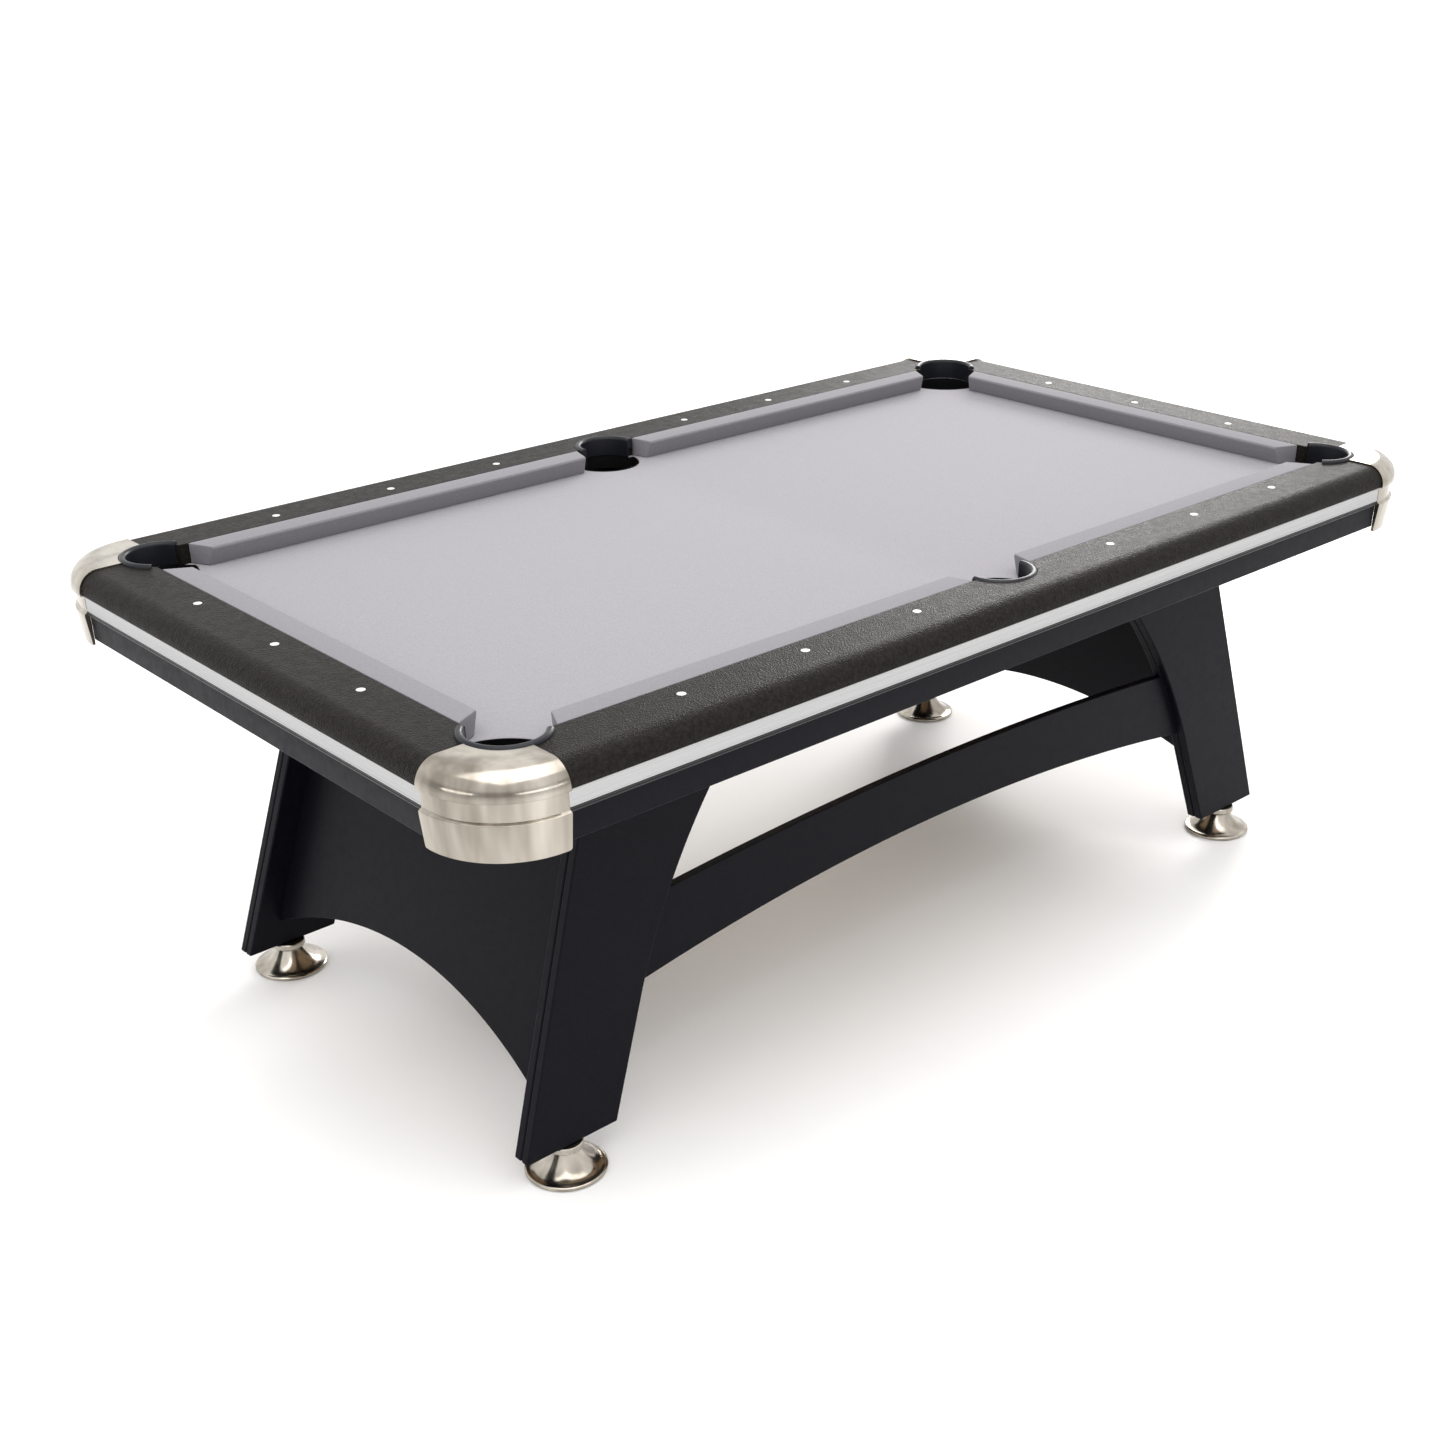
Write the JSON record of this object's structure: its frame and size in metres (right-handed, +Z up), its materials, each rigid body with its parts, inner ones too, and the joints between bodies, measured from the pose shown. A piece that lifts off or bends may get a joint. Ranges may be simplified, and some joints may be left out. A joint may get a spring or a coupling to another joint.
{
  "type": "pool table",
  "caption": "Pool table with a cloth bed, padded rails, drop pockets, metal corner castings and splayed board legs on screw levellers.",
  "frame": {"origin": "on the floor under the middle of the table", "axes": "+X along the table's length, +Y across it towards the far long side, +Z up"},
  "size_m": [2.264, 1.302, 0.827],
  "materials": {
    "board_wood": "plain sanded board and solid beams, hidden under the cloth and behind the aprons",
    "bed_cloth": "grey napped playing cloth stretched over the bed",
    "rail_cover": "wooden rail wrapped in black pebble-grained vinyl with a soft sheen",
    "cushion": "rubber cushion covered with the same grey cloth",
    "pocket_rim": "black smooth moulded rubber with a soft sheen",
    "pocket_cup": "black moulded cup, matt",
    "nickel": "warm nickel-plated metal with a soft polish",
    "strip_metal": "brushed aluminium strip, grain along its length",
    "black_board": "black satin laminated board with slightly rounded edges",
    "trim_bead": "black moulded bead with a groove, satin",
    "sight": "white inlaid dots, smooth",
    "bolt_steel": "zinc-plated steel"
  },
  "bodies": {
    "table": {"left_bed_board": "board_wood", "middle_bed_board": "board_wood", "right_bed_board": "board_wood", "bed_cloth": "bed_cloth", "near_rail": "rail_cover", "far_rail": "rail_cover", "left_rail": "rail_cover", "right_rail": "rail_cover", "near_left_cushion": "cushion", "near_right_cushion": "cushion", "far_left_cushion": "cushion", "far_right_cushion": "cushion", "left_cushion": "cushion", "right_cushion": "cushion", "near_left_pocket_rim": "pocket_rim", "near_right_pocket_rim": "pocket_rim", "far_left_pocket_rim": "pocket_rim", "far_right_pocket_rim": "pocket_rim", "near_side_pocket_rim": "pocket_rim", "far_side_pocket_rim": "pocket_rim", "near_left_pocket_cup": "pocket_cup", "near_right_pocket_cup": "pocket_cup", "far_left_pocket_cup": "pocket_cup", "far_right_pocket_cup": "pocket_cup", "near_side_pocket_cup": "pocket_cup", "far_side_pocket_cup": "pocket_cup", "near_left_casting": "nickel", "near_right_casting": "nickel", "far_left_casting": "nickel", "far_right_casting": "nickel", "near_strip": "strip_metal", "far_strip": "strip_metal", "left_strip": "strip_metal", "right_strip": "strip_metal", "near_apron": "black_board", "far_apron": "black_board", "left_apron": "black_board", "right_apron": "black_board", "trim_beads": "trim_bead", "sights": "sight", "long_beams": "board_wood", "cross_beams": "board_wood", "near_left_leg": "black_board", "near_right_leg": "black_board", "far_left_leg": "black_board", "far_right_leg": "black_board", "left_end_panel": "black_board", "right_end_panel": "black_board", "near_stretcher": "black_board", "far_stretcher": "black_board", "bolts": "bolt_steel", "threaded_inserts": "bolt_steel"},
    "near_left_leveller_collar": {"near_left_collar": "nickel"},
    "near_left_leveller_foot": {"near_left_foot": "nickel"},
    "near_right_leveller_collar": {"near_right_collar": "nickel"},
    "near_right_leveller_foot": {"near_right_foot": "nickel"},
    "far_left_leveller_collar": {"far_left_collar": "nickel"},
    "far_left_leveller_foot": {"far_left_foot": "nickel"},
    "far_right_leveller_collar": {"far_right_collar": "nickel"},
    "far_right_leveller_foot": {"far_right_foot": "nickel"}
  },
  "joints": [
    {"name": "near_left_lift", "type": "slide", "parent": "table", "child": "near_left_leveller_collar", "axis": [0, 0, -1], "range_m": [0, 0.0201]},
    {"name": "near_left_screw", "type": "hinge", "parent": "near_left_leveller_collar", "child": "near_left_leveller_foot", "pos_m": [-0.89, -0.437, 0], "axis": [0, 0, -1], "range_deg": [0, 3600]},
    {"name": "near_right_lift", "type": "slide", "parent": "table", "child": "near_right_leveller_collar", "axis": [0, 0, -1], "range_m": [0, 0.0201]},
    {"name": "near_right_screw", "type": "hinge", "parent": "near_right_leveller_collar", "child": "near_right_leveller_foot", "pos_m": [0.89, -0.437, 0], "axis": [0, 0, -1], "range_deg": [0, 3600]},
    {"name": "far_left_lift", "type": "slide", "parent": "table", "child": "far_left_leveller_collar", "axis": [0, 0, -1], "range_m": [0, 0.0201]},
    {"name": "far_left_screw", "type": "hinge", "parent": "far_left_leveller_collar", "child": "far_left_leveller_foot", "pos_m": [-0.89, 0.437, 0], "axis": [0, 0, -1], "range_deg": [0, 3600]},
    {"name": "far_right_lift", "type": "slide", "parent": "table", "child": "far_right_leveller_collar", "axis": [0, 0, -1], "range_m": [0, 0.0201]},
    {"name": "far_right_screw", "type": "hinge", "parent": "far_right_leveller_collar", "child": "far_right_leveller_foot", "pos_m": [0.89, 0.437, 0], "axis": [0, 0, -1], "range_deg": [0, 3600]}
  ],
  "couplings": [
    {"joint": "near_left_lift", "follows": "near_left_screw", "m_per_rad": 0.00031831},
    {"joint": "near_right_lift", "follows": "near_right_screw", "m_per_rad": 0.00031831},
    {"joint": "far_left_lift", "follows": "far_left_screw", "m_per_rad": 0.00031831},
    {"joint": "far_right_lift", "follows": "far_right_screw", "m_per_rad": 0.00031831}
  ]
}
